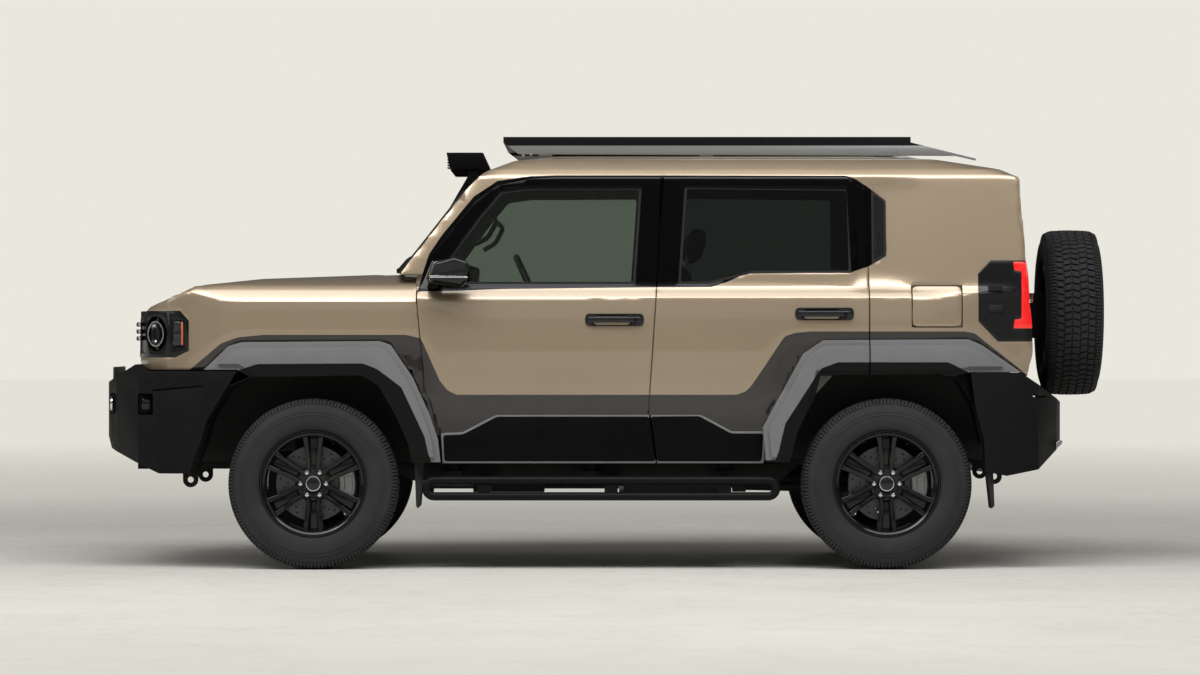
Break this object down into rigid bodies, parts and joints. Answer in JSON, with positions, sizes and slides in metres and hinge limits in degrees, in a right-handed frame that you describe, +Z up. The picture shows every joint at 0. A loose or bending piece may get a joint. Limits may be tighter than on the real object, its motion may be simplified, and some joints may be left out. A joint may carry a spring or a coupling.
{
  "type": "lifted off-road 4x4",
  "caption": "Lifted ladder-frame off-road vehicle that rolls and steers, with opening doors, bonnet and side-hinged tailgate carrying a spare wheel, roof rack, raised air intake and side steps.",
  "frame": {"origin": "on the ground under the middle of the vehicle's length and width", "axes": "+X to the rear, +Y to the vehicle's right, +Z up"},
  "size_m": [4.575, 2.111, 1.956],
  "materials": {
    "bronze_paint": "metallic bronze lacquer",
    "dark_plastic": "grained, unpainted",
    "cabin_plastic": "fine grain",
    "seat_leather": "soft, dark",
    "black_rubber": "matte",
    "tyre": "matte tread and side wall",
    "wheel_black": "gloss black lacquer",
    "tinted_glass": "tinted",
    "lamp_housing": "gloss black with clear lens",
    "lamp_red": "gloss black housing, red lens",
    "rack_metal": "satin black powder coat",
    "engine_metal": "cast",
    "chassis_metal": "black chassis paint"
  },
  "bodies": {
    "chassis": {"chassis_frame": "chassis_metal", "floor_pan": "cabin_plastic", "engine": "engine_metal", "front_suspension": "chassis_metal", "rear_axle": "chassis_metal", "exhaust": "chassis_metal", "fuel_tank": "cabin_plastic", "body_sides": "bronze_paint", "roof_panel": "bronze_paint", "front_fenders": "bronze_paint", "wheel_liners": "black_rubber", "grille": "dark_plastic", "headlights": "lamp_housing", "front_bumper": "dark_plastic", "rear_bumper": "dark_plastic", "tail_lamps": "lamp_red", "wheel_flares": "dark_plastic", "fixed_glass": "tinted_glass", "dashboard": "cabin_plastic", "seats": "seat_leather", "side_steps": "rack_metal", "roof_rack": "rack_metal", "air_intake": "dark_plastic", "mud_flaps": "black_rubber"},
    "steering": {"steering_wheel": "cabin_plastic"},
    "bonnet": {"bonnet": "bronze_paint"},
    "front_left_door": {"front_left_door": "bronze_paint", "front_left_glass": "tinted_glass"},
    "front_right_door": {"front_right_door": "bronze_paint", "front_right_glass": "tinted_glass"},
    "rear_left_door": {"rear_left_door": "bronze_paint", "rear_left_glass": "tinted_glass"},
    "rear_right_door": {"rear_right_door": "bronze_paint", "rear_right_glass": "tinted_glass"},
    "tailgate": {"tailgate": "bronze_paint", "tailgate_glass": "tinted_glass", "spare_tyre": "tyre", "spare_rim": "wheel_black"},
    "fuel_lid": {"fuel_lid": "bronze_paint"},
    "left_knuckle": {"left_knuckle": "chassis_metal"},
    "right_knuckle": {"right_knuckle": "chassis_metal"},
    "front_left_wheel": {"front_left_tyre": "tyre", "front_left_rim": "wheel_black"},
    "front_right_wheel": {"front_right_tyre": "tyre", "front_right_rim": "wheel_black"},
    "rear_left_wheel": {"rear_left_tyre": "tyre", "rear_left_rim": "wheel_black"},
    "rear_right_wheel": {"rear_right_tyre": "tyre", "rear_right_rim": "wheel_black"}
  },
  "joints": [
    {"name": "left_steer", "type": "hinge", "parent": "chassis", "child": "left_knuckle", "pos_m": [-1.3275, -0.72, 0.385], "axis": [0, 0, 1], "range_deg": [-33, 33]},
    {"name": "right_steer", "type": "hinge", "parent": "chassis", "child": "right_knuckle", "pos_m": [-1.3275, 0.72, 0.385], "axis": [0, 0, 1], "range_deg": [-33, 33]},
    {"name": "steering_turn", "type": "hinge", "parent": "chassis", "child": "steering", "pos_m": [-0.3425, -0.37, 1.24], "axis": [0.9063, 0, 0.4226], "range_deg": [-528, 528]},
    {"name": "front_left_spin", "type": "hinge", "parent": "left_knuckle", "child": "front_left_wheel", "pos_m": [-1.3275, -0.78, 0.385], "axis": [0, 1, 0], "continuous": true},
    {"name": "front_right_spin", "type": "hinge", "parent": "right_knuckle", "child": "front_right_wheel", "pos_m": [-1.3275, 0.78, 0.385], "axis": [0, 1, 0], "continuous": true},
    {"name": "rear_left_spin", "type": "hinge", "parent": "chassis", "child": "rear_left_wheel", "pos_m": [1.2525, -0.78, 0.385], "axis": [0, 1, 0], "continuous": true},
    {"name": "rear_right_spin", "type": "hinge", "parent": "chassis", "child": "rear_right_wheel", "pos_m": [1.2525, 0.78, 0.385], "axis": [0, 1, 0], "continuous": true},
    {"name": "front_left_door_hinge", "type": "hinge", "parent": "chassis", "child": "front_left_door", "pos_m": [-0.8585, -0.8925, 0.9], "axis": [0, 0, -1], "range_deg": [0, 66]},
    {"name": "front_right_door_hinge", "type": "hinge", "parent": "chassis", "child": "front_right_door", "pos_m": [-0.8585, 0.8925, 0.9], "axis": [0, 0, 1], "range_deg": [0, 66]},
    {"name": "rear_left_door_hinge", "type": "hinge", "parent": "chassis", "child": "rear_left_door", "pos_m": [0.1825, -0.8925, 0.9], "axis": [0, 0, -1], "range_deg": [0, 72]},
    {"name": "rear_right_door_hinge", "type": "hinge", "parent": "chassis", "child": "rear_right_door", "pos_m": [0.1825, 0.8925, 0.9], "axis": [0, 0, 1], "range_deg": [0, 72]},
    {"name": "tailgate_hinge", "type": "hinge", "parent": "chassis", "child": "tailgate", "pos_m": [1.9215, 0.642, 1.2], "axis": [0, 0, 1], "range_deg": [0, 85]},
    {"name": "bonnet_hinge", "type": "hinge", "parent": "chassis", "child": "bonnet", "pos_m": [-0.9585, 0, 1.329], "axis": [0, 1, 0], "range_deg": [0, 50]},
    {"name": "fuel_lid_hinge", "type": "hinge", "parent": "chassis", "child": "fuel_lid", "pos_m": [1.3655, -0.8925, 1.18], "axis": [0, 0, -1], "range_deg": [0, 100]}
  ],
  "couplings": [
    {"joint": "right_steer", "follows": "left_steer", "ratio": 1},
    {"joint": "steering_turn", "follows": "left_steer", "ratio": 16}
  ]
}
